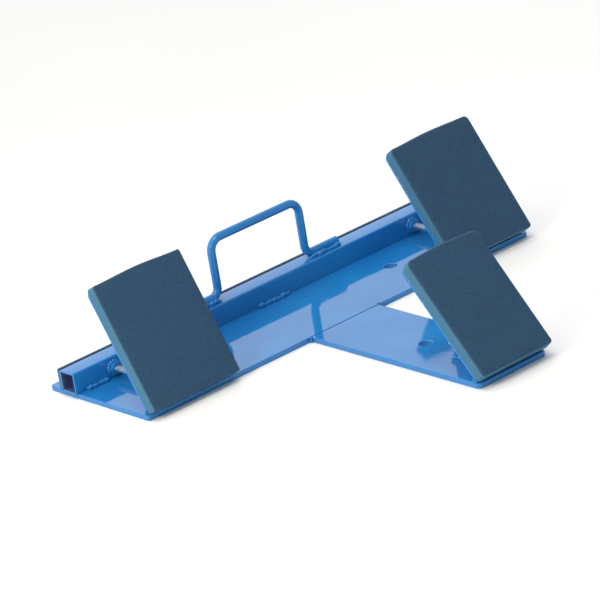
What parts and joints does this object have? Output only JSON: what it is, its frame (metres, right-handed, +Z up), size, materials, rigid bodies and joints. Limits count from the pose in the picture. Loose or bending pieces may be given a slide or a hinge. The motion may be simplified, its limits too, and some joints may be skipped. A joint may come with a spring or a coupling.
{
  "type": "starting block",
  "caption": "T-shaped blue steel floor block with tilting rubber-faced pads that lean on adjusting screws, a bent-rod carry handle and anchor holes.",
  "frame": {"origin": "on the floor, under the middle of the square tube", "axes": "+X along the bar to the right, -Y the way the pads face, +Z up"},
  "size_m": [0.586, 0.4546, 0.1473],
  "materials": {
    "blue_enamel": "gloss enamel over steel",
    "rubber": "fine pebble grain, matt",
    "zinc_plated_steel": "bright zinc plate"
  },
  "bodies": {
    "base": {"base_strip": "blue_enamel", "tongue_plate": "blue_enamel", "spine_tube": "blue_enamel", "back_rubber_strip": "rubber", "screw_post": "blue_enamel", "carry_handle": "blue_enamel", "left_base_knuckles": "blue_enamel", "right_base_knuckles": "blue_enamel", "front_base_knuckles": "blue_enamel", "left_hinge_pin": "zinc_plated_steel", "right_hinge_pin": "zinc_plated_steel", "front_hinge_pin": "zinc_plated_steel", "left_screw_nut": "blue_enamel", "right_screw_nut": "blue_enamel", "front_screw_nut": "blue_enamel", "spine_stitch_welds": "blue_enamel", "tongue_welds": "blue_enamel", "post_welds": "blue_enamel", "handle_foot_welds": "blue_enamel", "nut_welds": "blue_enamel"},
    "left_pad": {"left_pad_plate": "blue_enamel", "left_rubber_pad": "rubber", "left_pad_knuckle": "blue_enamel"},
    "right_pad": {"right_pad_plate": "blue_enamel", "right_rubber_pad": "rubber", "right_pad_knuckle": "blue_enamel"},
    "front_pad": {"front_pad_plate": "blue_enamel", "front_rubber_pad": "rubber", "front_pad_knuckle": "blue_enamel"},
    "left_screw": {"left_adjusting_screw": "zinc_plated_steel"},
    "right_screw": {"right_adjusting_screw": "zinc_plated_steel"},
    "front_screw": {"front_adjusting_screw": "zinc_plated_steel"}
  },
  "joints": [
    {"name": "left_pad_tilt", "type": "hinge", "parent": "base", "child": "left_pad", "pos_m": [-0.227, -0.1258, 0.0093], "axis": [1, 0, 0], "range_deg": [-15, 9]},
    {"name": "right_pad_tilt", "type": "hinge", "parent": "base", "child": "right_pad", "pos_m": [0.227, -0.1258, 0.0093], "axis": [1, 0, 0], "range_deg": [-9.5, 14.5]},
    {"name": "front_pad_tilt", "type": "hinge", "parent": "base", "child": "front_pad", "pos_m": [0, -0.3968, 0.0093], "axis": [1, 0, 0], "range_deg": [-3, 21]},
    {"name": "left_screw_feed", "type": "slide", "parent": "base", "child": "left_screw", "axis": [0, -1, 0], "range_m": [-0.00323, 0.00194]},
    {"name": "right_screw_feed", "type": "slide", "parent": "base", "child": "right_screw", "axis": [0, -1, 0], "range_m": [-0.00204, 0.00312]},
    {"name": "front_screw_feed", "type": "slide", "parent": "base", "child": "front_screw", "axis": [0, -1, 0], "range_m": [-0.00064, 0.00452]}
  ],
  "couplings": [
    {"joint": "left_screw_feed", "follows": "left_pad_tilt", "m_per_rad": 0.012324},
    {"joint": "right_screw_feed", "follows": "right_pad_tilt", "m_per_rad": 0.012324},
    {"joint": "front_screw_feed", "follows": "front_pad_tilt", "m_per_rad": 0.012324}
  ]
}
